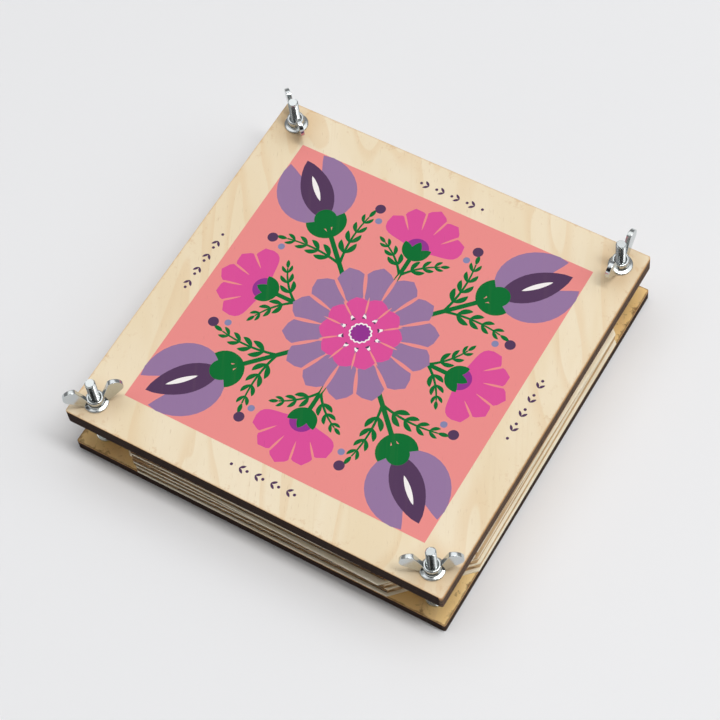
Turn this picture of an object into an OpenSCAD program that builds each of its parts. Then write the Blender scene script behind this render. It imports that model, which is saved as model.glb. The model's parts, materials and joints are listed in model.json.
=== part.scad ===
// Flower press: two plywood boards on four bolts, with a stack of corrugated
// cards and blotting papers between them, clamped by four wing nuts.
// Millimetres, +Z up. The origin is the centre of the underside that the
// press stands on. The front is the -Y side and the right is the +X side.

/* [Boards] */
// Length of each side of the two square boards
board_side = 200; // [160:1:260]
// Thickness of the bottom board
bottom_board_t = 6; // [5:0.5:12]
// Thickness of the top board
top_board_t = 9; // [5:0.5:15]
// Radius of the boards' upright corners
board_corner_r = 1; // [0.4:0.1:4]
// Distance of each bolt axis from the two nearest board edges
bolt_inset = 10.6; // [9:0.1:16]

/* [Sheets] */
// Number of cards in the stack, each one lying on two papers
card_n = 5; // [2:1:6]
// Thickness of one corrugated card
card_t = 3; // [2.5:0.1:4]
// Thickness of one blotting paper
paper_t = 0.5; // [0.3:0.1:1]
// Thickness of each of the two flat liners of a card
liner_t = 0.3; // [0.2:0.05:0.5]
// Upright thickness of the waved layer inside a card
wave_t = 0.35; // [0.25:0.05:0.5]
// Distance from one wave of a card to the next, fitted to whole half waves
wave_pitch = 6.5; // [5:0.1:9]
// Width of the glued strip where a wave meets its liner
glue_w = 0.8; // [0.4:0.1:1.2]
// Gap between the washer round a bolt and the slanted corner of a sheet
corner_gap = 4.5; // [3:0.1:8]
// Distance from the side of a sheet laid straight to the side of the boards
sheet_margin = 2; // [0:0.5:6]
// Furthest that a loosely laid sheet has slipped sideways
sheet_slip = 2.3; // [0:0.1:3]
// Furthest that a loosely laid sheet has turned, in degrees
sheet_turn = 1; // [0:0.1:2]

/* [Bolts] */
// Outer diameter of the bolt threads
bolt_d = 5; // [4:0.5:6]
// Length of a bolt with its countersunk head
bolt_len = 53; // [51:1:80]
// Bevel round the tip of a bolt
bolt_tip_c = 0.5; // [0.2:0.1:0.8]
// Diameter of the countersunk head
head_d = 10; // [9:0.5:12]
// Height of the straight rim of the head
head_rim_t = 0.3; // [0.2:0.1:0.6]
// Depth of the head under the underside of the bottom board
head_sink = 0.2; // [0.1:0.1:0.5]
// Width across the flats of the hexagon socket in the head
socket_af = 3; // [2.5:0.5:4]
// Depth of the hexagon socket
socket_depth = 2; // [1:0.1:2.5]

/* [Washers and lock nuts] */
// Outer diameter of a plain washer
washer_d = 10; // [9.5:0.5:12]
// Thickness of a plain washer
washer_t = 1; // [0.5:0.1:1.5]
// Width across the flats of a lock nut
lock_nut_af = 8; // [8:0.5:10]
// Height of a lock nut
lock_nut_h = 4; // [3:0.1:5]

/* [Wing nuts] */
// Diameter of the round base of a wing nut
base_d = 12; // [11:0.1:14]
// Thickness of the rounded rim of that base
base_t = 1; // [0.8:0.1:1.6]
// Diameter of the barrel above the base
barrel_d = 8.4; // [8:0.1:8.8]
// Height of the barrel
barrel_h = 5.3; // [4.5:0.1:7]
// Radius of the hollow where the barrel stands on the base
barrel_foot_r = 0.4; // [0.1:0.1:0.4]
// Bevel round the top of the barrel
barrel_c = 0.4; // [0.2:0.1:0.6]
// Width of the bevel at both mouths of the threaded bore
bore_mouth_c = 0.5; // [0.2:0.1:0.6]
// Distance from the tip of one wing to the tip of the other
wing_span = 28.6; // [27:0.1:36]
// Height of the wing tips above the underside of the nut
wing_h = 14.4; // [12:0.1:18]
// Radius of the round end of a wing
wing_end_r = 4.4; // [3:0.1:4.6]
// Thickness of a wing where it leaves the barrel
wing_root_t = 2.6; // [2:0.1:3]
// Thickness of a wing at its tip
wing_tip_t = 2; // [1.5:0.1:2]

/* [Fits] */
// Clearance all round between a bolt and the hole in the top board
hole_gap = 0.3; // [0.2:0.05:0.6]
// Clearance all round between a bolt and what is fixed on it
seat_gap = 0.1; // [0.05:0.05:0.2]
// Clearance all round between the threads of a bolt and of a nut
thread_gap = 0.05; // [0.02:0.01:0.1]

/* [Hidden] */
CORNERS = ["front_left", "front_right", "back_right", "back_left"];
CORNER_SIGNS = [[-1, -1], [1, -1], [1, 1], [-1, 1]];
FASTENERS = ["bolt", "washer", "lock_nut", "wing_nut"];
PAPERS_PER_CARD = 2;

// Degrees that each wing nut has stopped at, in the order of CORNERS
WING_TURNS = [45, 31, 90, 138];
// Turn, slip to the right and slip to the back of each pair of papers, from
// the bottom up, as shares of sheet_turn and sheet_slip
PAPER_LAY_SHARES = [
    [0.2, 0.95, -0.9], [0.7, 0.5, -0.5], [0.7, 0.15, -0.5], [-1, 0.6, -1], [0.6, 0.25, -0.5]
];
// The same for each card
CARD_LAY_SHARES = [
    [0.6, 0.5, -0.5], [0.3, 0.15, -0.5], [0.5, 0.15, -0.5], [0.6, 0.2, -0.4], [0.6, 0.2, -0.4]
];
// Direction of the inner corner of a wing from the centre of its round end
WING_CORNER_ANGLE = 120;
// Number of straight steps in a bent outline
ARC_STEPS = 8;
RIM_STEPS = 6;

// True circles for every bore and shank
$fn = 64;
overrun = bolt_d / 10;
bolt_place = board_side / 2 - bolt_inset;
layer_h = PAPERS_PER_CARD * paper_t + card_t;
stack_h = card_n * layer_h;
top_board_z = bottom_board_t + stack_h;
bolt_r = bolt_d / 2;
head_cone_h = (head_d - bolt_d) / 2;
bolt_top_z = head_sink + bolt_len;
sheet_side = board_side - 2 * sheet_margin;
corner_leg = sheet_side - 2 * bolt_place + sqrt(2) * (washer_d / 2 + corner_gap);
half_wave = sheet_side / round(2 * sheet_side / wave_pitch);
flute_n = round(sheet_side / half_wave) - 1;
barrel_r = barrel_d / 2;
base_r = base_d / 2;
rim_r = base_t / 2;
bore_r = bolt_r + thread_gap;
wing_centre = [wing_span / 2 - wing_end_r, wing_h - wing_end_r];

// Puts a copy of the children on each bolt axis
module at_each_bolt() {
    for (signs = CORNER_SIGNS) translate(signs * bolt_place) children();
}

// Puts the children on one bolt axis
module at_bolt(i) {
    translate(CORNER_SIGNS[i] * bolt_place) children();
}

// Outline of both boards, seen from above
module board_plan() {
    straight = board_side - 2 * board_corner_r;
    square([board_side, straight], center = true);
    square([straight, board_side], center = true);
    for (signs = CORNER_SIGNS) translate(signs * straight / 2) circle(r = board_corner_r);
}

module bottom_board() {
    seat_r = head_d / 2 + seat_gap;
    color("burlywood") difference() {
        linear_extrude(bottom_board_t) board_plan();
        at_each_bolt() rotate_extrude() polygon([
            [0, -overrun],
            [seat_r, -overrun],
            [seat_r, head_sink + head_rim_t],
            [bolt_r + seat_gap, head_sink + head_rim_t + head_cone_h],
            [bolt_r + seat_gap, bottom_board_t + overrun],
            [0, bottom_board_t + overrun]
        ]);
    }
}

module top_board() {
    color("wheat") translate([0, 0, top_board_z]) difference() {
        linear_extrude(top_board_t) board_plan();
        at_each_bolt() translate([0, 0, -overrun])
            cylinder(r = bolt_r + hole_gap, h = top_board_t + 2 * overrun);
    }
}

// Countersunk bolt, head down, with a hexagon socket in its flat face
module bolt(i) {
    cone_z = head_sink + head_rim_t;
    color("silver") at_bolt(i) difference() {
        rotate_extrude() polygon([
            [0, head_sink],
            [head_d / 2, head_sink],
            [head_d / 2, cone_z],
            [bolt_r, cone_z + head_cone_h],
            [bolt_r, bolt_top_z - bolt_tip_c],
            [bolt_r - bolt_tip_c, bolt_top_z],
            [0, bolt_top_z]
        ]);
        translate([0, 0, head_sink - overrun])
            cylinder(d = socket_af / cos(30), h = socket_depth + overrun, $fn = 6);
    }
}

// Plain washer that lies on the bottom board
module washer(i) {
    color("gainsboro") at_bolt(i) translate([0, 0, bottom_board_t]) difference() {
        cylinder(d = washer_d, h = washer_t);
        translate([0, 0, -overrun]) cylinder(r = bolt_r + seat_gap, h = washer_t + 2 * overrun);
    }
}

// Hexagon nut, bevelled above and below, that fixes the bolt in the board
module lock_nut(i) {
    corner_r = lock_nut_af / 2 / cos(30);
    bevel_w = corner_r - lock_nut_af / 2;
    bevel_h = bevel_w * tan(30);
    color("silver") at_bolt(i) translate([0, 0, bottom_board_t + washer_t]) difference() {
        intersection() {
            cylinder(r = corner_r, h = lock_nut_h, $fn = 6);
            rotate_extrude() polygon([
                [0, 0],
                [corner_r - bevel_w, 0],
                [corner_r, bevel_h],
                [corner_r, lock_nut_h - bevel_h],
                [corner_r - bevel_w, lock_nut_h],
                [0, lock_nut_h]
            ]);
        }
        translate([0, 0, -overrun]) cylinder(r = bore_r, h = lock_nut_h + 2 * overrun);
    }
}

// Points on an arc, in steps from one angle to the other
function arc(centre, r, from, to, steps) = [
    for (k = [0:steps]) let (a = from + (to - from) * k / steps) centre + r * [cos(a), sin(a)]
];

// Half section of the round body of a wing nut, on the axis: a flat base with
// a rounded rim and a barrel with a hollow foot and a bevelled top
module wing_nut_body() {
    rotate_extrude() polygon(concat(
        [[0, 0]],
        arc([base_r - rim_r, rim_r], rim_r, -90, 90, RIM_STEPS),
        arc([barrel_r, base_t] + barrel_foot_r * [1, 1], barrel_foot_r, 270, 180, RIM_STEPS),
        [[barrel_r, barrel_h - barrel_c], [barrel_r - barrel_c, barrel_h], [0, barrel_h]]
    ));
}

// Outline of one wing in its own plane: a straight lower edge that runs
// smoothly into the round end, and a straight inner edge down to the barrel
module wing_outline() {
    foot = [base_r - rim_r, rim_r];
    reach = foot - wing_centre;
    tangent_angle = atan2(reach[1], reach[0]) + acos(wing_end_r / norm(reach));
    polygon(concat(
        [[0, rim_r], foot],
        arc(wing_centre, wing_end_r, tangent_angle, WING_CORNER_ANGLE, ARC_STEPS),
        [[barrel_r - barrel_c, barrel_h], [0, barrel_h]]
    ));
}

// One wing, thinner towards its tip
module wing() {
    intersection() {
        rotate([90, 0, 0]) linear_extrude(wing_root_t, center = true) wing_outline();
        linear_extrude(wing_h + overrun) polygon([
            [0, -wing_root_t / 2],
            [barrel_r, -wing_root_t / 2],
            [wing_span / 2 + overrun, -wing_tip_t / 2],
            [wing_span / 2 + overrun, wing_tip_t / 2],
            [barrel_r, wing_root_t / 2],
            [0, wing_root_t / 2]
        ]);
    }
}

// Threaded bore of a wing nut with a bevel at each mouth
module wing_nut_bore() {
    mouth_r = bore_r + bore_mouth_c;
    rotate_extrude() polygon([
        [0, -overrun],
        [mouth_r, -overrun],
        [mouth_r, 0],
        [bore_r, bore_mouth_c],
        [bore_r, barrel_h - bore_mouth_c],
        [mouth_r, barrel_h],
        [mouth_r, barrel_h + overrun],
        [0, barrel_h + overrun]
    ]);
}

module wing_nut(i) {
    color("lightsteelblue") at_bolt(i) translate([0, 0, top_board_z + top_board_t])
        rotate(WING_TURNS[i]) difference() {
            union() {
                wing_nut_body();
                for (side = [0, 180]) rotate(side) wing();
            }
            wing_nut_bore();
        }
}

// Outline of every sheet, seen from above: a square with slanted corners
// that pass the bolts
module sheet_plan() {
    intersection() {
        square(sheet_side, center = true);
        rotate(45) square(sqrt(2) * (sheet_side - corner_leg), center = true);
    }
}

// Lays a sheet where it has slipped and turned to, at its own height
module lay(shares, z) {
    translate([shares[1] * sheet_slip, shares[2] * sheet_slip, z])
        rotate(shares[0] * sheet_turn) children();
}

function nth(table, k) = table[min(k, len(table) - 1)];

module paper(i) {
    layer = floor((i - 1) / PAPERS_PER_CARD);
    in_layer = (i - 1) % PAPERS_PER_CARD;
    color("ivory") lay(nth(PAPER_LAY_SHARES, layer), bottom_board_t + layer * layer_h + in_layer * paper_t)
        linear_extrude(paper_t) sheet_plan();
}

// One hollow under or over a wave, between the wave and its liner. It opens
// towards the upper liner when up is 1, and towards the lower one when -1.
module flute(up) {
    wave_h = card_t - 2 * liner_t;
    half_w = half_wave - glue_w / 2;
    polygon([
        for (k = [0:ARC_STEPS]) let (s = 2 * k / ARC_STEPS - 1)
            [s * half_w, up * (wave_h / 2 - (wave_h - wave_t) * (1 + cos(180 * s)) / 2)]
    ]);
}

// Section of a corrugated card across its flutes
module card_section() {
    difference() {
        translate([0, card_t / 2]) square([sheet_side + 2 * overrun, card_t], center = true);
        for (k = [1:flute_n]) translate([k * half_wave - sheet_side / 2, card_t / 2])
            flute(k % 2 == 0 ? 1 : -1);
    }
}

// Corrugated card whose flutes run from the front to the back
module card(i) {
    layer = i - 1;
    z = bottom_board_t + layer * layer_h + PAPERS_PER_CARD * paper_t;
    color("tan") lay(nth(CARD_LAY_SHARES, layer), z) intersection() {
        linear_extrude(card_t) sheet_plan();
        rotate([90, 0, 0]) linear_extrude(sheet_side + 2 * overrun, center = true) card_section();
    }
}

bottom_board();
top_board();
for (i = [0:len(CORNERS) - 1]) {
    bolt(i);
    washer(i);
    lock_nut(i);
    wing_nut(i);
}
for (i = [1:card_n * PAPERS_PER_CARD]) paper(i);
for (i = [1:card_n]) card(i);
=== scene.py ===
# Looks of the flower press. The papers, bolts, wing nuts and print are modelled
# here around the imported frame. The boards, cards, washers and lock nuts keep
# their own solids and get materials. Everything is in metres, +Z up.
import json
import math

import bpy
from mathutils import Matrix, Vector, geometry, noise

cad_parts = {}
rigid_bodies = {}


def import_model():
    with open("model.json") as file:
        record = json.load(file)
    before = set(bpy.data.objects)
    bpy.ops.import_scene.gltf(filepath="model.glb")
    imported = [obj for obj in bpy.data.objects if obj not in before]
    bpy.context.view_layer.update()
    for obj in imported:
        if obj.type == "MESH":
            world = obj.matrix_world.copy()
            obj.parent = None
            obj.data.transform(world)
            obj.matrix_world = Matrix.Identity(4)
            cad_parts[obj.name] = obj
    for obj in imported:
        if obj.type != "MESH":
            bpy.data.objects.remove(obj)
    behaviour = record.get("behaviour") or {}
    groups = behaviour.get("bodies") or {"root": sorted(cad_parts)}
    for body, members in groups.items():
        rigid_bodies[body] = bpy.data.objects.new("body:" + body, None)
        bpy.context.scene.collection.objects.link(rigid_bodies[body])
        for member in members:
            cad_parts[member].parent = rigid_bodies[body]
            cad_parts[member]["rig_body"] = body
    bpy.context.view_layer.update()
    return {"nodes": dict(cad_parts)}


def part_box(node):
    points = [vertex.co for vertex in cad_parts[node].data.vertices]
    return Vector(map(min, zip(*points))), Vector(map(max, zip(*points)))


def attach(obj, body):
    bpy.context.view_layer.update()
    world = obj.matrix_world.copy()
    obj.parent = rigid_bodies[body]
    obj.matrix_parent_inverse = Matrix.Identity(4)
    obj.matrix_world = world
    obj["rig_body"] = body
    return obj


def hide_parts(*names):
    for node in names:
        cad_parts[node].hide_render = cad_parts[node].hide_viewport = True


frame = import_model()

MM = 0.001
CORNERS = ("front_left", "front_right", "back_right", "back_left")

# Places and sizes that the pieces share, read from the frame
TOP_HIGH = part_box("top_board")[1]
BOARD_HALF = TOP_HIGH.x
TOP_Z = TOP_HIGH.z
BOLTS = {}
for corner in CORNERS:
    low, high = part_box("bolt_" + corner)
    BOLTS[corner] = Vector(((low.x + high.x) / 2, (low.y + high.y) / 2, 0))
BOLT_LOW, BOLT_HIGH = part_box("bolt_front_left")
HEAD_R = (BOLT_HIGH.x - BOLT_LOW.x) / 2

# Sockets of Blender's colour mix node, which has others of the same names
MIX_LOW, MIX_HIGH, MIX_RESULT = 6, 7, 2


def srgb(red, green, blue):
    """Linear colour of a colour given from 0 to 255 on each channel."""
    def linear(c):
        c /= 255
        return c / 12.92 if c <= 0.04045 else ((c + 0.055) / 1.055) ** 2.4
    return (linear(red), linear(green), linear(blue), 1.0)


class Material:
    """A node material, with short calls that add nodes to it."""

    def __init__(self, name, roughness=0.5, metallic=0.0, specular=0.5):
        self.material = bpy.data.materials.new(name)
        self.material.use_nodes = True
        self.tree = self.material.node_tree
        self.shader = self.tree.nodes["Principled BSDF"]
        self.shader.inputs["Roughness"].default_value = roughness
        self.shader.inputs["Metallic"].default_value = metallic
        self.shader.inputs["Specular IOR Level"].default_value = specular
        self.place = self.tree.nodes.new("ShaderNodeTexCoord").outputs["Object"]

    def link(self, value, socket):
        """Sets a socket to a number, a colour or another node's output."""
        if isinstance(value, bpy.types.NodeSocket):
            self.tree.links.new(value, socket)
        else:
            socket.default_value = value

    def math(self, operation, *values):
        node = self.tree.nodes.new("ShaderNodeMath")
        node.operation = operation
        for k, value in enumerate(values):
            self.link(value, node.inputs[k])
        return node.outputs[0]

    def axes(self, vector=None):
        """The x, y and z of a vector, or else of the place on the object."""
        node = self.tree.nodes.new("ShaderNodeSeparateXYZ")
        self.link(vector or self.place, node.inputs[0])
        return node.outputs

    def stretched(self, scale, turn=0.0, shift=(0, 0, 0)):
        """The place on the object, turned about Z, in steps of 1 / scale metres on each axis."""
        node = self.tree.nodes.new("ShaderNodeMapping")
        node.vector_type = "TEXTURE"
        self.link(self.place, node.inputs["Vector"])
        node.inputs["Location"].default_value = shift
        node.inputs["Rotation"].default_value = (0, 0, turn)
        node.inputs["Scale"].default_value = [1 / s for s in scale]
        return node.outputs[0]

    def noise(self, vector, detail, rough=0.5, distortion=0.0):
        """Noise with one step for every 1 that the vector changes."""
        node = self.tree.nodes.new("ShaderNodeTexNoise")
        self.link(vector, node.inputs["Vector"])
        node.inputs["Scale"].default_value = 1.0
        node.inputs["Detail"].default_value = detail
        node.inputs["Roughness"].default_value = rough
        node.inputs["Distortion"].default_value = distortion
        return node.outputs["Fac"]

    def step(self, value, low, high, to_low=0.0, to_high=1.0):
        """A smooth rise from to_low to to_high as value goes from low to high."""
        node = self.tree.nodes.new("ShaderNodeMapRange")
        node.interpolation_type = "SMOOTHSTEP"
        self.link(value, node.inputs["Value"])
        for k, number in enumerate((low, high, to_low, to_high)):
            self.link(number, node.inputs[k + 1])
        return node.outputs["Result"]

    def mix(self, share, low, high):
        """Colour that goes from low to high as the share goes from 0 to 1."""
        node = self.tree.nodes.new("ShaderNodeMix")
        node.data_type = "RGBA"
        self.link(share, node.inputs["Factor"])
        self.link(low, node.inputs[MIX_LOW])
        self.link(high, node.inputs[MIX_HIGH])
        return node.outputs[MIX_RESULT]

    def bump(self, height, distance, strength):
        """Relief that stands distance metres high where height is 1."""
        node = self.tree.nodes.new("ShaderNodeBump")
        node.inputs["Distance"].default_value = distance
        node.inputs["Strength"].default_value = strength
        self.link(height, node.inputs["Height"])
        self.link(node.outputs[0], self.shader.inputs["Normal"])

    def finish(self, colour, roughness=None):
        """Gives the shader its colour, and its roughness if that varies."""
        self.link(colour, self.shader.inputs["Base Color"])
        if roughness is not None:
            self.link(roughness, self.shader.inputs["Roughness"])
        return self.material


# Birch: the turn of its grain, and how many steps of each pattern a metre holds
# across and along the grain
GRAIN_TURN = math.radians(27)
CLOUDS = (24, 7, 1)
GROWTH = (21, 4.5, 1)
STREAKS = (330, 10, 1)
PORES = (1600, 180, 1)
GROWTH_LINES = 9.0


def birch_colour(m, pale, warm, seed):
    """Colour and height of rotary-cut birch: clouds, wavy growth lines, streaks and short pores."""
    cloud_place = m.stretched(CLOUDS, GRAIN_TURN, (seed, 0, 0))
    clouds = m.noise(cloud_place, detail=4, rough=0.6, distortion=0.6)
    growth_place = m.stretched(GROWTH, GRAIN_TURN, (seed, 1, 0))
    growth = m.noise(growth_place, detail=2, rough=0.45, distortion=0.35)
    streaks = m.noise(m.stretched(STREAKS, GRAIN_TURN, (seed, 2, 0)), detail=3, rough=0.6)
    pores = m.noise(m.stretched(PORES, GRAIN_TURN, (0, seed, 0)), detail=2, rough=0.5)
    level = m.math("FRACT", m.math("MULTIPLY", growth, GROWTH_LINES))
    line = m.math("MULTIPLY", m.step(level, 0.6, 0.93), m.step(level, 1.0, 0.95))
    colour = m.mix(m.step(clouds, 0.34, 0.68), pale, warm)
    colour = m.mix(m.math("MULTIPLY", line, 0.3), colour, srgb(226, 190, 142))
    colour = m.mix(m.step(streaks, 0.56, 0.8, 0, 0.22), colour, srgb(214, 184, 140))
    colour = m.mix(m.step(pores, 0.64, 0.74, 0, 0.28), colour, srgb(190, 156, 112))
    height = m.math("MULTIPLY_ADD", pores, -0.6, m.math("MULTIPLY", streaks, 0.4))
    return colour, height


# Laser-cut edges: the beam's stripes and their bends in steps per metre, the share of
# a ply that its glue line takes, how far down the top of an edge is only singed, how
# much further that pale band reaches on the right-hand edge as painted light, and how
# far in from the right-hand side the painted light of lighter char starts and is full
CORNER_R = 1 * MM
BEAM_STRIPES = 900.0
BEAM_BENDS = 60.0
GLUE_SHARE = 0.14
SINGE_REACH = 0.8 * MM
RIGHT_PAINTED_LIGHT_REACH = 2.6 * MM
RIGHT_FROM = 2 * MM
RIGHT_TO = 1 * MM

# Scorch on the faces: along the borders and in marks further in. Round the bolts the
# scorch colour also darkens the faces, as painted shade of the nuts together with stain.
# What lies within the side's skin or the hole's radius is a cut edge.
SCORCH = (190, 190, 1)
SCORCH_START = 0.5 * MM
SCORCH_FULL = 0.1 * MM
BORDER_BURN = 1.4
MARKS_REACH = 9
SHADE_AND_STAIN_OUTER = 17 * MM
SHADE_AND_STAIN_INNER = 5 * MM
SIDE_SKIN = 0.06 * MM
HOLE_R = 2.95 * MM
BOARD_RELIEF = 0.05 * MM
FACE_ROUGH = 0.62
EDGE_ROUGH = 0.8
ZINC_RELIEF = 0.03 * MM
INK_RELIEF = 0.02 * MM


def distance_in(m):
    """How far in from the boards' outline a place lies, in metres, and its x, y and z."""
    x, y, z = m.axes()
    start = BOARD_HALF - CORNER_R
    past_x = m.math("MAXIMUM", m.math("SUBTRACT", m.math("ABSOLUTE", x), start), 0.0)
    past_y = m.math("MAXIMUM", m.math("SUBTRACT", m.math("ABSOLUTE", y), start), 0.0)
    past = m.math("SQRT", m.math("ADD", m.math("POWER", past_x, 2.0), m.math("POWER", past_y, 2.0)))
    rounded = m.math("SUBTRACT", past, m.math("MAXIMUM", past_x, past_y))
    across = m.math("MAXIMUM", m.math("ABSOLUTE", x), m.math("ABSOLUTE", y))
    return m.math("SUBTRACT", m.math("SUBTRACT", BOARD_HALF, across), rounded), x, y, z


def charred_colour(m, x, y, z, low, high, plies, right_painted_light, seed):
    """Laser-cut plywood edge: near-black char, striped upright by the beam, with browner plies.

    The right-hand edge, which faces the light, takes painted light by the share given for that side:
    lighter, browner char and a pale band that reaches further down from its top.
    """
    along = m.math("ADD", x, y)
    combine = m.tree.nodes.new("ShaderNodeCombineXYZ")
    m.link(m.math("MULTIPLY", along, BEAM_STRIPES), combine.inputs[0])
    m.link(m.math("MULTIPLY", z, BEAM_BENDS), combine.inputs[1])
    combine.inputs[2].default_value = seed
    beam = m.noise(combine.outputs[0], detail=3, rough=0.6)
    level = m.math("DIVIDE", m.math("SUBTRACT", z, low), (high - low) / plies)
    ply = m.math("PINGPONG", level, 1.0)
    glue = m.math("LESS_THAN", m.math("FRACT", level), GLUE_SHARE)
    # Painted light: the right-hand edge faces the light, so its char is shown lighter and browner.
    right = m.step(x, BOARD_HALF - RIGHT_FROM, BOARD_HALF - RIGHT_TO, 0.0, right_painted_light)
    brown = m.mix(m.step(ply, 0.25, 0.75), srgb(36, 24, 20), srgb(56, 38, 30))
    painted_lit_char = m.mix(m.step(ply, 0.25, 0.75), srgb(92, 74, 64), srgb(120, 94, 76))
    colour = m.mix(m.math("MULTIPLY", right, 0.85), brown, painted_lit_char)
    colour = m.mix(m.step(beam, 0.45, 0.72, 0, 0.5), colour, srgb(30, 21, 19))
    colour = m.mix(m.math("MULTIPLY", glue, 0.45), colour, srgb(26, 18, 17))
    # Painted light also lets the pale band at the top of the right-hand edge reach further down.
    reach = m.math("MULTIPLY_ADD", right, RIGHT_PAINTED_LIGHT_REACH, SINGE_REACH)
    singe = m.step(m.math("SUBTRACT", high, z), reach, SCORCH_FULL)
    singe = m.math("MULTIPLY", singe, m.step(beam, 0.3, 0.6, 0.6, 1.0))
    return m.mix(singe, colour, srgb(226, 176, 122)), beam


def plywood(name, node, plies, pale, warm, tan, bolt_shade_and_stain, burn, scorch_reach, right_painted_light, seed):
    """Plywood board with pale faces, scorched borders and charred edges and holes.

    Tan is the scorch colour. The share of it round the bolts is painted shade of the nuts
    together with stain, and burn is its share in the marks and along the borders. The
    right-hand edge takes painted light: lighter char on the side that faces the light.
    """
    m = Material(name, roughness=FACE_ROUGH, specular=0.1)
    low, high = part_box(node)
    inset, x, y, z = distance_in(m)
    colour, height = birch_colour(m, pale, warm, seed)
    scorch = m.noise(m.stretched(SCORCH, shift=(seed, seed, 0)), detail=4, rough=0.7)
    reach = m.math("MULTIPLY_ADD", m.step(scorch, 0.35, 0.75), scorch_reach, SCORCH_START)
    colour = m.mix(m.step(inset, reach, SCORCH_FULL, 0, BORDER_BURN * burn), colour, tan)
    marks = m.step(scorch, 0.56, 0.66, 0, burn)
    marks = m.math("MULTIPLY", marks, m.step(inset, MARKS_REACH * scorch_reach, 0))
    colour = m.mix(marks, colour, tan)
    bolt = BOLTS["front_left"]
    away = m.math("SQRT", m.math(
        "ADD",
        m.math("POWER", m.math("SUBTRACT", m.math("ABSOLUTE", x), abs(bolt.x)), 2.0),
        m.math("POWER", m.math("SUBTRACT", m.math("ABSOLUTE", y), abs(bolt.y)), 2.0),
    ))
    # Painted shade and stain: the face darkens towards each bolt.
    colour = m.mix(m.step(away, SHADE_AND_STAIN_OUTER, SHADE_AND_STAIN_INNER, 0, bolt_shade_and_stain), colour, tan)
    edge, beam = charred_colour(m, x, y, z, low.z, high.z, plies, right_painted_light, seed)
    in_hole = m.math("LESS_THAN", away, HOLE_R)
    side = m.math("MAXIMUM", m.math("LESS_THAN", inset, SIDE_SKIN), in_hole)
    colour = m.mix(side, colour, edge)
    m.bump(m.math("MULTIPLY_ADD", side, beam, height), BOARD_RELIEF, 0.5)
    return m.finish(colour, m.step(side, 0, 1, FACE_ROUGH, EDGE_ROUGH))


def zinc(name, tint, roughness, grain):
    """Bright zinc plating over drawn or cast steel, faintly mottled in grain steps per metre."""
    m = Material(name, metallic=1.0)
    mottle = m.noise(m.stretched((grain, grain, grain)), detail=4, rough=0.6)
    colour = m.mix(m.step(mottle, 0.3, 0.75), tint, srgb(206, 210, 208))
    m.bump(mottle, ZINC_RELIEF, 0.2)
    return m.finish(colour, m.step(mottle, 0.25, 0.8, roughness, roughness + 0.12))


# Fibres and clouds of paper and card, in steps per metre
FIBRES = (900, 1500, 900)
PAPER_CLOUDS = (60, 60, 60)
FIBRE_RELIEF = 0.04 * MM


def fibrous(m, pale, warm, fibre, seed):
    """Colour and height of uncoated paper or card: faint clouds and darker fibres."""
    fibres = m.noise(m.stretched(FIBRES, shift=(seed, 0, 0)), detail=4, rough=0.7)
    clouds = m.noise(m.stretched(PAPER_CLOUDS, shift=(0, seed, 0)), detail=2)
    colour = m.mix(m.step(clouds, 0.3, 0.7), pale, warm)
    return m.mix(m.step(fibres, 0.55, 0.8, 0, 0.25), colour, fibre), fibres


def paper_material(name, pale, warm, seed):
    m = Material(name, roughness=0.9, specular=0.2)
    colour, fibres = fibrous(m, pale, warm, srgb(176, 160, 130), seed)
    m.bump(fibres, FIBRE_RELIEF, 0.6)
    return m.finish(colour)


def card_material(name, pale, warm, cut, seed):
    """Brown corrugated board, with painted shade where its flutes are cut across, at the front and back:
    those faces take the dark colour cut in place of the shade in the flutes' hollows.
    """
    m = Material(name, roughness=0.9, specular=0.2)
    colour, fibres = fibrous(m, pale, warm, srgb(150, 122, 88), seed)
    facing = m.axes(m.tree.nodes.new("ShaderNodeNewGeometry").outputs["True Normal"])[1]
    # Painted shade: faces turned to the front or back take the dark cut colour.
    colour = m.mix(m.step(m.math("ABSOLUTE", facing), 0.75, 0.9), colour, cut)
    m.bump(fibres, FIBRE_RELIEF, 0.6)
    return m.finish(colour)


def ink(name, colour):
    """Matt printing ink on birch, through which the grain shows faintly."""
    m = Material(name, roughness=0.65, specular=0.08)
    streaks = m.noise(m.stretched(STREAKS, GRAIN_TURN, (0, 2, 0)), detail=3, rough=0.6)
    pores = m.noise(m.stretched(PORES, GRAIN_TURN), detail=2)
    shade = m.mix(m.step(streaks, 0.5, 0.8, 0, 0.02), colour, srgb(214, 184, 140))
    shade = m.mix(m.step(pores, 0.66, 0.78, 0, 0.1), shade, srgb(60, 45, 60))
    m.bump(pores, INK_RELIEF, 0.3)
    return m.finish(shade)


def add_piece(name, mesh, body, slot, *replaced):
    """Shows a mesh on a body, in place of the nodes that it replaces."""
    piece = bpy.data.objects.new(name, mesh)
    bpy.context.scene.collection.objects.link(piece)
    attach(piece, body)
    if replaced:
        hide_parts(*replaced)
    return piece


def mesh_of(name, points, faces, *materials, smooth=False):
    mesh = bpy.data.meshes.new(name)
    mesh.from_pydata([tuple(p) for p in points], [], faces)
    for material in materials:
        mesh.materials.append(material)
    mesh.polygons.foreach_set("use_smooth", [smooth] * len(mesh.polygons))
    mesh.update()
    return mesh


def lathe(rings, closed=True):
    """Points and faces of a skin over rings of equally many points, with both ends closed or open."""
    count = len(rings[0])
    points = [p for ring in rings for p in ring]
    faces = []
    for r in range(len(rings) - 1):
        here, above = r * count, (r + 1) * count
        for k in range(count):
            after = (k + 1) % count
            faces.append((here + k, here + after, above + after, above + k))
    if closed:
        faces.append(tuple(reversed(range(count))))
        faces.append(tuple((len(rings) - 1) * count + k for k in range(count)))
    return points, faces


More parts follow.
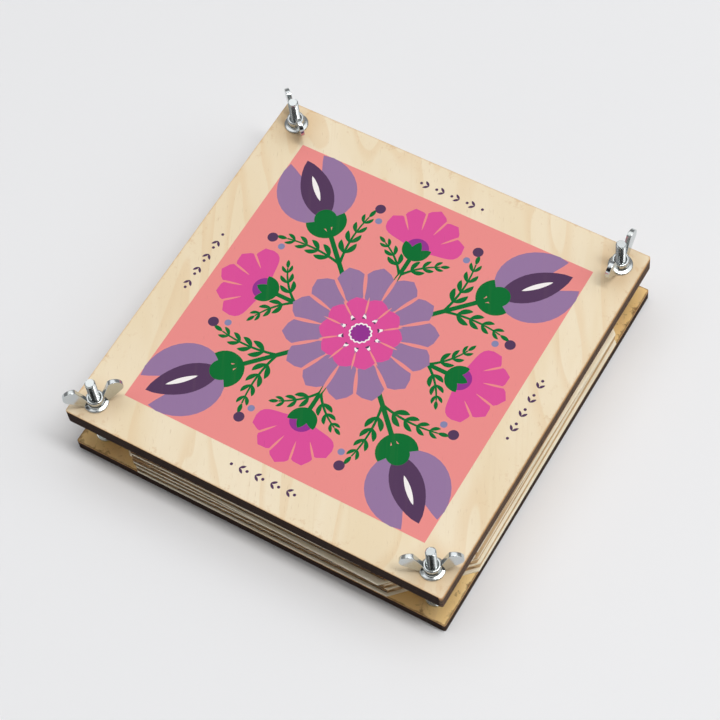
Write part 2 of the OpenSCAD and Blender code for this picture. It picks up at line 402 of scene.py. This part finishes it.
# Bolts: M5 x 0.8 threads, a countersunk head and a hexagon socket. Crest and flank
# are shares of the pitch. The threads' ends are cut a little askew, each turned its
# own way in degrees.
BOLT_R = 2.5 * MM
PITCH = 0.8 * MM
THREAD_STEPS = 8
THREAD_DEPTH = 0.46 * MM
THREAD_CREST = 0.44
THREAD_FLANK = 0.32
BOLT_SHARP = math.radians(38)
ROUND = 48
HEAD_RIM = 0.3 * MM
HEAD_SOFT = 0.1 * MM
SOCKET_HALF = 1.5 * MM
SOCKET_DEPTH = 2 * MM
SOCKET_CONE = 0.5 * MM
POINT_R = 0.05 * MM
TIP_BEVEL = 0.5 * MM
TIP_RING_SHARES = (0.0, 0.35, 0.7, 1.0)
TIP_SLANT = math.radians(6)
TIP_TURNS = {"front_left": -52, "front_right": 130, "back_right": 40, "back_left": -20}


def thread_radius(z, turn):
    """Radius of the thread at a height and at a share of a turn."""
    away = abs((z / PITCH - turn) % 1.0 - 0.5)
    return BOLT_R - THREAD_DEPTH * min(max((THREAD_CREST - away) / THREAD_FLANK, 0.0), 1.0)


def circle_points(radius, z):
    """One ring of a lathe. The radius is a number or a function of the share of a turn."""
    points = []
    for k in range(ROUND):
        turn = k / ROUND
        r = radius(turn) if callable(radius) else radius
        points.append((r * math.cos(turn * math.tau), r * math.sin(turn * math.tau), z))
    return points


def hexagon_radius(turn):
    """Distance from the axis to the socket's flats at a share of a turn."""
    angle = (turn * math.tau) % (math.pi / 3) - math.pi / 6
    return SOCKET_HALF / math.cos(angle)


def bolt_mesh(material):
    """One skin from the bottom of the socket over the head and up the thread to its end."""
    foot, tip = BOLT_LOW.z, BOLT_HIGH.z
    neck = foot + HEAD_RIM + HEAD_R - BOLT_R
    rings = [
        circle_points(POINT_R, foot + SOCKET_DEPTH + SOCKET_CONE),
        circle_points(hexagon_radius, foot + SOCKET_DEPTH),
        circle_points(hexagon_radius, foot + HEAD_SOFT),
        circle_points(lambda turn: hexagon_radius(turn) + HEAD_SOFT, foot),
        circle_points(HEAD_R - HEAD_SOFT, foot),
        circle_points(HEAD_R, foot + HEAD_SOFT),
        circle_points(HEAD_R, foot + HEAD_RIM),
        circle_points(BOLT_R, neck),
    ]
    z = neck + PITCH / THREAD_STEPS
    while z < tip - TIP_BEVEL:
        rings.append(circle_points(lambda turn, z=z: thread_radius(z, turn), z))
        z += PITCH / THREAD_STEPS
    end = []
    for share in TIP_RING_SHARES:
        cap = BOLT_R - TIP_BEVEL * share
        level = tip - TIP_BEVEL * (1 - share)
        end.append(circle_points(lambda turn, z=level, c=cap: min(c, thread_radius(z, turn)), level))
    end.append(circle_points(POINT_R, tip))
    slant = math.tan(TIP_SLANT)
    rings += [[(x, y, z - slant * (BOLT_R + x)) for x, y, z in ring] for ring in end]
    mesh = mesh_of("bolt", *lathe(rings), material, smooth=True)
    mesh.set_sharp_from_angle(angle=BOLT_SHARP)
    return mesh


# Wing nuts: the solids' outline in millimetres, but with the top of the base sloping
# gently up to the barrel, cast in one with soft edges. The three angles are in degrees.
NUT = {
    "base_r": 6.0, "base_t": 1.0, "base_slope": 0.27, "foot_r": 0.4,
    "barrel_r": 4.2, "barrel_h": 5.3, "mouth_r": 3.05, "bore_r": 2.6,
    "wing_x": 9.9, "wing_z": 10.0, "wing_r": 4.4, "root_t": 2.6, "tip_t": 2.0, "reach": 14.3,
    "bevel": 0.4, "mouth_c": 0.5, "root_x": 3.3, "root_drop": 0.3,
    "rim_angle": 78, "foot_angle": 256, "tip_angle": 120,
}
NUT_VOXEL = 0.14 * MM
NUT_SMOOTHINGS = 4
NUT_FACES_KEPT = 0.25
WING_REACH_MIN = 8 * MM

# Rounded edges of the washers and lock nuts
EDGE_SOFT = 0.15 * MM
EDGE_SHARP = math.radians(35)


def arc(centre, radius, start, end, steps):
    """Points on an arc, from one angle to the other in degrees."""
    angles = [math.radians(start + (end - start) * k / steps) for k in range(steps + 1)]
    return [(centre[0] + radius * math.cos(a), centre[1] + radius * math.sin(a)) for a in angles]


def nut_body():
    """Rings of the round body, from the bore's lower mouth round to its upper one."""
    barrel_r, barrel_h = NUT["barrel_r"], NUT["barrel_h"]
    rim, hollow = NUT["base_t"] / 2, NUT["foot_r"]
    bevel, mouth = NUT["bevel"], NUT["mouth_c"]
    slope_top = NUT["base_t"] + NUT["base_slope"]
    outline = [(NUT["bore_r"], mouth), (NUT["mouth_r"], 0.0)]
    outline += arc((NUT["base_r"] - rim, rim), rim, -90, NUT["rim_angle"], 7)
    outline += arc((barrel_r + hollow, slope_top + hollow), hollow, NUT["foot_angle"], 180, 4)
    outline += [(barrel_r, barrel_h - bevel), (barrel_r - bevel, barrel_h)]
    outline += [(NUT["mouth_r"], barrel_h), (NUT["bore_r"], barrel_h - mouth)]
    rings = [circle_points(r * MM, z * MM) for r, z in outline]
    points, faces = lathe(rings, closed=False)
    last = (len(rings) - 1) * ROUND
    for k in range(ROUND):
        after = (k + 1) % ROUND
        faces.append((last + k, last + after, after, k))
    return points, faces


def wing_blade(side):
    """Points and faces of one wing, thinner towards its tip."""
    tip, rim = (NUT["wing_x"], NUT["wing_z"]), NUT["base_t"] / 2
    foot = (NUT["base_r"] - rim, rim)
    across, up = foot[0] - tip[0], foot[1] - tip[1]
    start = math.atan2(up, across) + math.acos(NUT["wing_r"] / math.hypot(across, up))
    inner, lower = NUT["root_x"], NUT["root_drop"]
    outline = [(inner, rim), foot]
    outline += arc(tip, NUT["wing_r"], math.degrees(start), NUT["tip_angle"], 24)
    outline += [(NUT["barrel_r"] - NUT["bevel"], NUT["barrel_h"]), (inner, NUT["barrel_h"] - lower)]
    points = []
    for face in (-1, 1):
        for px, pz in outline:
            share = min(max((px - NUT["barrel_r"]) / (NUT["reach"] - NUT["barrel_r"]), 0.0), 1.0)
            half = (NUT["root_t"] + (NUT["tip_t"] - NUT["root_t"]) * share) / 2
            points.append((side * px * MM, side * face * half * MM, pz * MM))
    count = len(outline)
    faces = [(k, k + count, (k + 1) % count + count, (k + 1) % count) for k in range(count)]
    faces += [tuple(range(count)), tuple(reversed(range(count, 2 * count)))]
    return points, faces


def wing_nut_mesh(material):
    """The body and both wings, fused into one skin and smoothed."""
    points, faces = nut_body()
    for side in (-1, 1):
        more, its_faces = wing_blade(side)
        faces += [tuple(i + len(points) for i in face) for face in its_faces]
        points += more
    rough = bpy.data.objects.new("wing_nut_rough", mesh_of("wing_nut_rough", points, faces, material))
    bpy.context.scene.collection.objects.link(rough)
    remesh = rough.modifiers.new("fuse", "REMESH")
    remesh.mode = "VOXEL"
    remesh.voxel_size = NUT_VOXEL
    soften = rough.modifiers.new("soften", "SMOOTH")
    soften.factor = 0.5
    soften.iterations = NUT_SMOOTHINGS
    thin = rough.modifiers.new("thin", "DECIMATE")
    thin.ratio = NUT_FACES_KEPT
    graph = bpy.context.evaluated_depsgraph_get()
    mesh = bpy.data.meshes.new_from_object(rough.evaluated_get(graph))
    mesh.name = "wing_nut"
    bpy.data.objects.remove(rough)
    mesh.polygons.foreach_set("use_smooth", [True] * len(mesh.polygons))
    return mesh


def wing_angle(corner):
    """Direction of the wings: the line through the bolt along which the solid spreads furthest."""
    along = Vector((0, 0))
    for v in frame["nodes"]["wing_nut_" + corner].data.vertices:
        out = (v.co - BOLTS[corner]).xy
        if out.length > WING_REACH_MIN:
            turn = 2 * math.atan2(out.y, out.x)
            along += Vector((math.cos(turn), math.sin(turn))) * out.length
    return math.atan2(along.y, along.x) / 2


def turned(mesh, angle):
    """A copy of the mesh, turned about Z."""
    copy = mesh.copy()
    copy.transform(Matrix.Rotation(angle, 4, "Z"))
    return copy


def make_hardware():
    drawn = zinc("zinc_drawn", srgb(200, 205, 206), 0.16, 240)
    cast = zinc("zinc_cast", srgb(198, 203, 205), 0.14, 190)
    bolt = bolt_mesh(drawn)
    nut = wing_nut_mesh(cast)
    for corner in CORNERS:
        turned_bolt = turned(bolt, math.radians(TIP_TURNS[corner]))
        piece = add_piece("bolt_threaded_" + corner, turned_bolt, "base", "zinc_steel", "bolt_" + corner)
        piece.location = BOLTS[corner]
        turned_nut = turned(nut, wing_angle(corner))
        wings = add_piece(
            "wing_nut_cast_" + corner, turned_nut, "wing_nut_" + corner, "zinc_cast", "wing_nut_" + corner)
        wings.location = BOLTS[corner] + Vector((0, 0, TOP_Z))
        for node in ("washer_" + corner, "lock_nut_" + corner):
            soften_node(node, EDGE_SOFT)
            dress(node, drawn)


def dress(node, material):
    """Gives a CAD node a better material."""
    for slot in frame["nodes"][node].material_slots:
        slot.material = material


def soften_node(node, width):
    """Rounds the sharp edges of a CAD node."""
    bevel = frame["nodes"][node].modifiers.new("soften", "BEVEL")
    bevel.width = width
    bevel.segments = 2
    bevel.limit_method = "ANGLE"
    bevel.angle_limit = EDGE_SHARP


# Papers. Each is shown a little thinner than its solid, on the side of the other one
# of its pair. Its border waves up and down, in WAVES steps per metre. Its rings: how
# far in from the border, and how high from -1 at the underside to 1 on top.
PAPER_THINNER = 0.12 * MM
PAPER_STEP = 3 * MM
PAPER_SHARP = math.radians(40)
PAPER_WAVE = 0.05 * MM
WAVES = 40
WAVE_FADE = 9 * MM
WAVE_SHIFT = 3.7
PAPER_RINGS = (
    (25 * MM, -1), (6 * MM, -1), (0.9 * MM, -1), (0.12 * MM, -0.9), (0, -0.45),
    (0, 0.45), (0.12 * MM, 0.9), (0.9 * MM, 1), (6 * MM, 1), (25 * MM, 1),
)


def outline_of(node):
    """Corners of a sheet seen from above, in order round it, and its centre."""
    corners = {(round(v.co.x, 6), round(v.co.y, 6)) for v in frame["nodes"][node].data.vertices}
    centre = Vector((0, 0))
    for c in corners:
        centre += Vector(c) / len(corners)
    return sorted(corners, key=lambda c: math.atan2(c[1] - centre.y, c[0] - centre.x)), centre


def paper_piece(number, material):
    """One blotting paper: a thin sheet with rounded, faintly wavy borders."""
    node = f"paper_{number}"
    low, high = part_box(node)
    corners, centre = outline_of(node)
    ring = []
    for k, corner in enumerate(corners):
        a, b = Vector(corner), Vector(corners[(k + 1) % len(corners)])
        steps = max(2, round((b - a).length / PAPER_STEP))
        ring += [a.lerp(b, s / steps) for s in range(steps)]
    lower_of_pair = number % 2 == 1
    bottom = low.z if lower_of_pair else low.z + PAPER_THINNER
    top = high.z - PAPER_THINNER if lower_of_pair else high.z
    middle, half = (bottom + top) / 2, (top - bottom) / 2

    def level(inset, share):
        """One ring of the sheet, which waves less the further in it lies."""
        points = []
        for p in ring:
            out = p - centre
            q = centre + out * (1 - inset / out.length)
            wave = noise.noise(Vector((q.x * WAVES, q.y * WAVES, number * WAVE_SHIFT))) * PAPER_WAVE
            wave *= math.exp(-inset / WAVE_FADE)
            points.append((q.x, q.y, middle + half * share + wave * (1 - abs(share)) - wave * 0.4))
        return points

    rings = [level(inset, share) for inset, share in PAPER_RINGS]
    mesh = mesh_of(node + "_sheet", *lathe(rings), material, smooth=True)
    mesh.set_sharp_from_angle(angle=PAPER_SHARP)
    body = frame["nodes"][node]["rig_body"]
    add_piece(node + "_sheet", mesh, body, "paper", node)


def make_sheets():
    paper = paper_material("blotting_paper", srgb(246, 239, 220), srgb(240, 231, 207), 1.0)
    # The card's last colour is painted shade for its cut flute ends.
    board = card_material(
        "corrugated_card", srgb(214, 182, 140), srgb(200, 166, 124), srgb(78, 64, 50), 5.0)
    for number in range(1, 11):
        paper_piece(number, paper)
    for number in range(1, 6):
        dress(f"card_{number}", board)


# The printed square and its design. Sizes are millimetres from the centre of
# the top board, x to the right and y to the back.
PRINT_HALF = 80.0
PRINT_LIFT = 0.03 * MM
BLADE_STEPS = 12
BLADE_FULLNESS = 0.75
LINE_STEPS = 14
SPRIG_WIDTH = 1.5
LEAF_SPREAD = 42
INKS = {
    "coral": srgb(236, 143, 139), "magenta": srgb(220, 80, 152), "lilac": srgb(150, 119, 160),
    "plum": srgb(85, 58, 91), "violet": srgb(147, 51, 143), "green": srgb(8, 110, 50),
    "slate": srgb(133, 135, 174), "white": srgb(246, 240, 238),
}


def at(angle, distance, centre=(0, 0)):
    """Point at a direction in degrees and a distance from a centre."""
    a = math.radians(angle)
    return Vector((centre[0] + distance * math.cos(a), centre[1] + distance * math.sin(a)))


def disc(centre, radius, teeth=0, depth=0.0, count=48):
    """Round patch, with a scalloped border if it has teeth."""
    points = []
    for k in range(count):
        angle = 360 * k / count
        wave = abs(math.sin(math.radians(angle * teeth / 2))) if teeth else 1.0
        points.append(at(angle, radius - depth * (1 - wave), centre))
    return points


def blade(start, angle, length, width, blunt=0.5, bend=0.0):
    """Leaf or petal outline, widest at the share blunt of its length. Bend turns its tip aside."""
    middle, left, right = [], [], []
    for k in range(BLADE_STEPS + 1):
        s = k / BLADE_STEPS
        turn = angle + bend * s * s
        middle.append(at(turn, length * s, start))
        swell = 0.0
        if 0 < s < 1:
            swell = math.sin(math.pi * s ** (math.log(0.5) / math.log(blunt))) ** BLADE_FULLNESS
        side = at(turn + bend * s + 90, width / 2 * swell)
        left.append(middle[-1] + side)
        right.append(middle[-1] - side)
    return left + right[-2:0:-1]


def stroke(points, width, taper=1.0):
    """Outline of a line through the points. Its width at the end is taper times that at the start."""
    left, right = [], []
    for k, p in enumerate(points):
        ahead = points[min(k + 1, len(points) - 1)] - points[max(k - 1, 0)]
        side = Vector((-ahead.y, ahead.x)).normalized()
        side *= width / 2 * (1 + (taper - 1) * k / (len(points) - 1))
        left.append(p + side)
        right.append(p - side)
    return left + right[::-1]


def bent_line(start, angle, length, bend):
    """Points along a line that sets out at an angle and bends evenly."""
    points, here = [Vector(start)], Vector(start)
    for k in range(LINE_STEPS):
        here = here + at(angle + bend * (k + 0.5) / LINE_STEPS, length / LINE_STEPS)
        points.append(here)
    return points


# The flowers take their lengths as shares of their own size
def daisy(shapes, centre, radius, petals, colour, heart, turn=0.0):
    """Round flower with blunt petals, gaps between them and a scalloped heart."""
    width = 2 * math.pi * radius / petals * 0.88
    for k in range(petals):
        angle = turn + 360 * k / petals
        petal = blade(at(angle, radius * 0.2, centre), angle, radius * 0.8, width, blunt=0.72)
        shapes.append((colour, petal))
    for k in range(petals):
        angle = turn + 360 * (k + 0.5) / petals
        gap = blade(at(angle, radius * 0.5, centre), angle, radius * 0.5, radius * 0.05)
        shapes.append(("coral", gap))
    shapes.append((colour, disc(centre, radius * 0.4)))
    shapes.append(("white", disc(centre, radius * 0.285, 14, radius * 0.03, 84)))
    shapes.append((heart, disc(centre, radius * 0.245, 14, radius * 0.03, 84)))


def fan_flower(shapes, centre, angle, size, colour, heart):
    """Five petals spread to one side, on a heart with three green leaves."""
    spread, gap_width = 27, 1.1
    for k in range(-2, 3):
        length = size * (1 - 0.05 * abs(k))
        shapes.append((colour, blade(centre, angle + spread * k, length, size * 0.46, blunt=0.74)))
    for k in (-1.5, -0.5, 0.5, 1.5):
        turn = angle + spread * k
        shapes.append(("coral", blade(at(turn, size * 0.5, centre), turn, size * 0.52, gap_width)))
    shapes.append((heart, disc(at(angle, size * 0.1, centre), size * 0.22)))
    foot = at(angle, -size * 0.16, centre)
    for k in (-1, 0, 1):
        shapes.append(("green", blade(foot, angle + 38 * k, size * 0.42, size * 0.2)))


def tulip(shapes, centre, angle, size, outer, inner):
    """Two outer petals round a pointed inner one with a white streak, on a green foot."""
    for side in (-1, 1):
        base = at(angle + 90 * side, size * 0.12, centre)
        petal = blade(base, angle + 24 * side, size, size * 0.5, blunt=0.42, bend=-18 * side)
        shapes.append((outer, petal))
    shapes.append((inner, blade(centre, angle, size * 0.98, size * 0.42, blunt=0.45)))
    shapes.append(("white", blade(at(angle, size * 0.3, centre), angle, size * 0.42, size * 0.07)))
    shapes.append(("green", disc(centre, size * 0.15)))


def sprig(shapes, start, angle, length, bend, pairs, leaf):
    """Bent stem with pairs of leaves that get smaller towards its tip."""
    line = bent_line(start, angle, length, bend)
    shapes.append(("green", stroke(line, SPRIG_WIDTH, 0.5)))
    for k in range(pairs):
        share = (k + 1) / (pairs + 0.6)
        here = line[round(share * (len(line) - 1))]
        heading = angle + bend * share
        size = leaf * (1 - 0.45 * share)
        for side in (-1, 1):
            turn = heading + LEAF_SPREAD * side
            shapes.append(("green", blade(here, turn, size, size * 0.34, blunt=0.55, bend=-14 * side)))
    shapes.append(("green", blade(line[-1], angle + bend, leaf * 0.6, leaf * 0.24)))


def printed_shapes():
    """The design: a double daisy in the middle of four tulips and four fan flowers.

    The last one painted lies on top, so the stems and leaves come first.
    """
    shapes = [("coral", [Vector(p) * PRINT_HALF for p in ((-1, -1), (1, -1), (1, 1), (-1, 1))])]
    fan_place, fan_size = 50, 27
    tulip_place, tulip_size = 67, 37
    berry_place, berry_r = 70, 2.6
    dot_place, dot_r = 63, 1.7
    for k in range(4):
        straight, slanted = 90 * k, 90 * k + 45
        stem = [at(straight, 26), at(straight, 40), at(straight, fan_place + 2)]
        shapes.append(("green", stroke(stem, 2.2)))
        stem = [at(slanted, 26), at(slanted, 50), at(slanted, tulip_place + 3)]
        shapes.append(("green", stroke(stem, 2.4)))
        for side in (-1, 1):
            sprig(shapes, at(slanted, 40), slanted + 30 * side, 30, 26 * side, 4, 9)
            sprig(shapes, at(straight, 36), straight + 34 * side, 20, 30 * side, 3, 8)
            leaf = blade(at(slanted, 56), slanted + 50 * side, 19, 6.5, bend=-36 * side)
            shapes.append(("green", leaf))
            between = straight + 22.5 * side
            shapes.append(("plum", disc(at(between, berry_place), berry_r)))
            shapes.append(("slate", disc(at(between, dot_place), dot_r)))
    for k in range(4):
        straight, slanted = 90 * k, 90 * k + 45
        fan_flower(shapes, at(straight, fan_place), straight, fan_size, "magenta", "violet")
        tulip(shapes, at(slanted, tulip_place), slanted, tulip_size, "lilac", "plum")
    daisy(shapes, (0, 0), 37, 14, "lilac", "plum")
    daisy(shapes, (0, 0), 20, 10, "magenta", "violet", 18)
    return shapes


def garland_shapes():
    """A small row of leaves and dots outside each side of the square."""
    shapes = []
    row_away, row_step = 7, 4.2
    for k in range(4):
        angle = 90 * k - 90
        for step in range(-4, 5):
            here = at(angle, PRINT_HALF + row_away) + at(angle + 90, row_step * step)
            if step % 2:
                for side in (-1, 1):
                    shapes.append(("plum", blade(here, angle + 90 + side * 38, 3.4, 1.3)))
            else:
                shapes.append(("plum", disc(here, 0.75, count=20)))
    return shapes


def printed_mesh(name, shapes, inks):
    """One flat skin over all the shapes. Each face has the ink of the last shape painted there."""
    points, faces = [], []
    for _, outline in shapes:
        outline = [Vector(p) for p in outline]
        pairs = zip(outline, outline[1:] + outline[:1])
        if sum(a.x * b.y - b.x * a.y for a, b in pairs) < 0:
            outline.reverse()
        faces.append(list(range(len(points), len(points) + len(outline))))
        points += outline
    made = geometry.delaunay_2d_cdt(points, [], faces, 1, 1e-4)
    z = TOP_Z + PRINT_LIFT
    names = list(inks)
    skin = [(x * MM, y * MM, z) for x, y in made[0]]
    mesh = mesh_of(name, skin, [tuple(f) for f in made[2]], *[inks[n] for n in names])
    for polygon, sources in zip(mesh.polygons, made[5]):
        polygon.material_index = names.index(shapes[max(sources)][0])
    return mesh


def make_print():
    inks = {name: ink("ink_" + name, colour) for name, colour in INKS.items()}
    add_piece("print_square", printed_mesh("print_square", printed_shapes(), inks), "top_board", "plywood")
    garland = printed_mesh("print_garlands", garland_shapes(), {"plum": inks["plum"]})
    add_piece("print_garlands", garland, "top_board", "plywood")


def make_boards():
    # Both boards take painted shade round the bolts and painted light on their right-hand edges, each by
    # its own share.
    dress("top_board", plywood(
        "birch_top", "top_board", plies=7, seed=0.0,
        pale=srgb(241, 226, 198), warm=srgb(236, 217, 183), tan=srgb(206, 160, 104),
        bolt_shade_and_stain=0.3, burn=0.3, scorch_reach=1.2 * MM, right_painted_light=1.0,
    ))
    dress("bottom_board", plywood(
        "birch_bottom", "bottom_board", plies=5, seed=4.0,
        pale=srgb(250, 222, 164), warm=srgb(238, 202, 138), tan=srgb(112, 74, 44),
        bolt_shade_and_stain=0.12, burn=0.55, scorch_reach=1.8 * MM, right_painted_light=0.25,
    ))


# The photograph's view, with the sensor and the lens in millimetres, and a pale floor
CAMERA_PLACE = Vector((340.56, -439.77, 940.08)) * MM
CAMERA_AIM = Vector((7.18, -12.63, 35.0)) * MM
CAMERA_ROLL = math.radians(8.70)
CAMERA_SENSOR = 36
CAMERA_LENS = 114.0
CAMERA_CLIP = (0.01, 20)
FLOOR = srgb(237, 237, 238)
FLOOR_HALF = 6

# Studio dome. Each row of four holds where a change starts and ends, as a share of
# the way up or towards a direction, and the strengths there.
SKY_TINT = (0.985, 0.99, 1.0, 1.0)
DOME_RISE = (0.68, 0.80, 0.28, 1.4)
DOME_TOP = (0.97, 0.995, 1.0, 0.06)
DOME_WAY = Vector((-0.74, 0.67, 0))
DOME_BACK = (-0.15, 0.15, 0.03, 1.0)
PANEL_WAY = Vector((0.70, 0.30, 0.66))
PANEL_EDGE = (0.87, 0.94, 0.0, 1.35)
FILL_HEIGHT = (0.28, 0.14, 0.0, 1.3)
FILL_WAY = Vector((0, -1, 0))
FILL_EDGE = (0.3, 0.7, 0.0, 1.0)

# Soft box, in metres and watts
KEY_PLACE = Vector((1.3, 0.34, 4.0))
KEY_SIZE = (2.6, 0.68)
KEY_POWER = 86.0


def make_camera():
    camera = bpy.data.objects.new("camera", bpy.data.cameras.new("camera"))
    bpy.context.scene.collection.objects.link(camera)
    camera.data.sensor_width = CAMERA_SENSOR
    camera.data.lens = CAMERA_LENS
    camera.location = CAMERA_PLACE
    aim = (CAMERA_AIM - CAMERA_PLACE).to_track_quat("-Z", "Y")
    roll = Matrix.Rotation(-CAMERA_ROLL, 4, "Z")
    camera.rotation_euler = (aim.to_matrix().to_4x4() @ roll).to_euler()
    camera.data.clip_start, camera.data.clip_end = CAMERA_CLIP
    bpy.context.scene.camera = camera


def make_floor():
    points = [(x * FLOOR_HALF, y * FLOOR_HALF, 0) for x, y in ((-1, -1), (1, -1), (1, 1), (-1, 1))]
    m = Material("floor", roughness=0.7, specular=0.2)
    m.finish(FLOOR)
    floor = bpy.data.objects.new("floor", mesh_of("floor", points, [(0, 1, 2, 3)], m.material))
    bpy.context.scene.collection.objects.link(floor)


def make_world():
    """Dome that is dim but for a band behind on the left, a panel on the right and a low strip in front."""
    world = bpy.data.worlds.new("studio")
    bpy.context.scene.world = world
    world.use_nodes = True
    nodes, links = world.node_tree.nodes, world.node_tree.links
    background = nodes["Background"]

    def rise(value, low, high, to_low, to_high):
        """A smooth change of strength as value goes from low to high."""
        node = nodes.new("ShaderNodeMapRange")
        node.interpolation_type = "SMOOTHSTEP"
        links.new(value, node.inputs["Value"])
        for k, number in enumerate((low, high, to_low, to_high)):
            node.inputs[k + 1].default_value = number
        return node.outputs["Result"]

    def combine(operation, a, b):
        node = nodes.new("ShaderNodeMath")
        node.operation = operation
        links.new(a, node.inputs[0])
        links.new(b, node.inputs[1])
        return node.outputs[0]

    def towards(direction):
        """How far a ray heads in a direction, from -1 to 1."""
        node = nodes.new("ShaderNodeVectorMath")
        node.operation = "DOT_PRODUCT"
        links.new(way, node.inputs[0])
        node.inputs[1].default_value = direction.normalized()
        return node.outputs["Value"]

    way = nodes.new("ShaderNodeTexCoord").outputs["Generated"]
    axes = nodes.new("ShaderNodeSeparateXYZ")
    links.new(way, axes.inputs[0])
    up = axes.outputs["Z"]
    band = combine("MULTIPLY", rise(up, *DOME_RISE), rise(up, *DOME_TOP))
    band = combine("MULTIPLY", band, rise(towards(DOME_WAY), *DOME_BACK))
    panel = rise(towards(PANEL_WAY), *PANEL_EDGE)
    fill = combine("MULTIPLY", rise(up, *FILL_HEIGHT), rise(towards(FILL_WAY), *FILL_EDGE))
    bright = combine("ADD", combine("ADD", band, panel), fill)
    links.new(bright, background.inputs["Strength"])
    background.inputs["Color"].default_value = SKY_TINT


def make_key():
    """Soft box overhead, to the right and a little behind, that faces straight down."""
    lamp = bpy.data.lights.new("key", "AREA")
    lamp.shape = "RECTANGLE"
    lamp.size, lamp.size_y = KEY_SIZE
    lamp.energy = KEY_POWER
    key = bpy.data.objects.new("key", lamp)
    key.location = KEY_PLACE
    bpy.context.scene.collection.objects.link(key)


make_camera()
make_floor()
make_world()
make_key()
make_boards()
make_print()
make_sheets()
make_hardware()
bpy.context.scene.view_settings.view_transform = "Standard"
